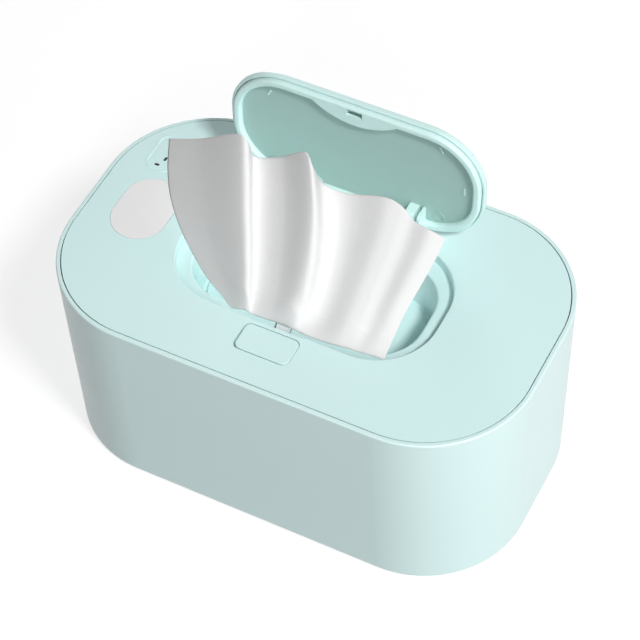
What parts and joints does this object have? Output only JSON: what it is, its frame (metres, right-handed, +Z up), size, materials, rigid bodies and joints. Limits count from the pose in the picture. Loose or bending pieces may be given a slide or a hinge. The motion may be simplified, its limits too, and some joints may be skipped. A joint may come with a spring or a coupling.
{
  "type": "baby wipe warmer",
  "caption": "Baby wipe warmer: rounded heated case, lift-off top cover with a touch display, and a sprung flip lid with a push-button latch over a deep dispensing well.",
  "frame": {"origin": "centre of the footprint, on the surface that the rubber feet stand on", "axes": "+X along the case to the right as a user faces the push button, +Y to the rear, where the lid's hinge and the power inlet are, +Z up"},
  "size_m": [0.23, 0.139, 0.1714],
  "materials": {
    "mint_plastic": "satin",
    "inner_plastic": "matt",
    "grey_window": "satin",
    "dark_plastic": "matt",
    "white_plastic": "matt",
    "silicone": "matt, translucent",
    "rubber": "matt",
    "steel": "fine brushed",
    "aluminium": "rolled sheet",
    "heater_laminate": "gloss film",
    "foam": "closed-cell foam",
    "circuit_board": "solder mask",
    "plated_contact": "gold plated",
    "wipe": "soft non-woven"
  },
  "bodies": {
    "base": {"body_shell": "mint_plastic", "base_plate": "mint_plastic", "rubber_feet": "rubber", "base_screws": "steel", "inner_tub": "inner_plastic", "tub_screws": "steel", "heat_spreader": "aluminium", "heater_film": "heater_laminate", "insulation_pad": "foam", "temperature_sensor": "steel", "thermal_fuse": "white_plastic", "heater_leads": "dark_plastic", "control_board": "circuit_board", "board_components": "dark_plastic", "board_screws": "steel", "power_inlet": "steel", "inlet_bezel": "dark_plastic", "ribbon_cable": "white_plastic", "contact_block": "dark_plastic", "contact_pins": "plated_contact"},
    "cover": {"top_cover": "mint_plastic", "cover_liner": "inner_plastic", "liner_screws": "steel", "cover_gasket": "silicone", "dispensing_plate": "mint_plastic", "slot_ring": "silicone", "display_window": "grey_window", "display_board": "circuit_board", "digit_display": "dark_plastic", "touch_spring": "steel", "display_screws": "steel", "indicator_lenses": "dark_plastic", "contact_pads": "plated_contact", "pad_cable": "white_plastic", "latch_housing": "inner_plastic", "latch_screws": "steel", "button_springs": "steel", "latch_spring": "steel", "hinge_pins": "steel", "wipe_sheet": "wipe", "lid_springs": "steel"},
    "lid": {"lid_skin": "mint_plastic", "lid_liner": "mint_plastic"},
    "button": {"latch_button": "mint_plastic"},
    "latch": {"latch_slider": "white_plastic"}
  },
  "joints": [
    {"name": "cover_lift", "type": "slide", "parent": "base", "child": "cover", "axis": [0, 0, 1], "range_m": [0, 0.045]},
    {"name": "lid_hinge", "type": "hinge", "parent": "cover", "child": "lid", "pos_m": [0, 0.0386, 0.0991], "axis": [1, 0, 0], "range_deg": [0, 92.4], "stiffness_Nm_per_rad": 0.0075, "springref_deg": -61.31, "deforming": ["lid_springs", "wipe_sheet"]},
    {"name": "button_press", "type": "slide", "parent": "cover", "child": "button", "axis": [0, 0, -1], "range_m": [0, 0.0012], "stiffness_N_per_m": 400, "springref_m": -0.001, "deforming": ["button_springs"]},
    {"name": "latch_slide", "type": "slide", "parent": "cover", "child": "latch", "axis": [0, -1, 0], "range_m": [0, 0.0012], "deforming": ["latch_spring"]}
  ],
  "couplings": [
    {"joint": "latch_slide", "follows": "button_press", "ratio": 1}
  ]
}
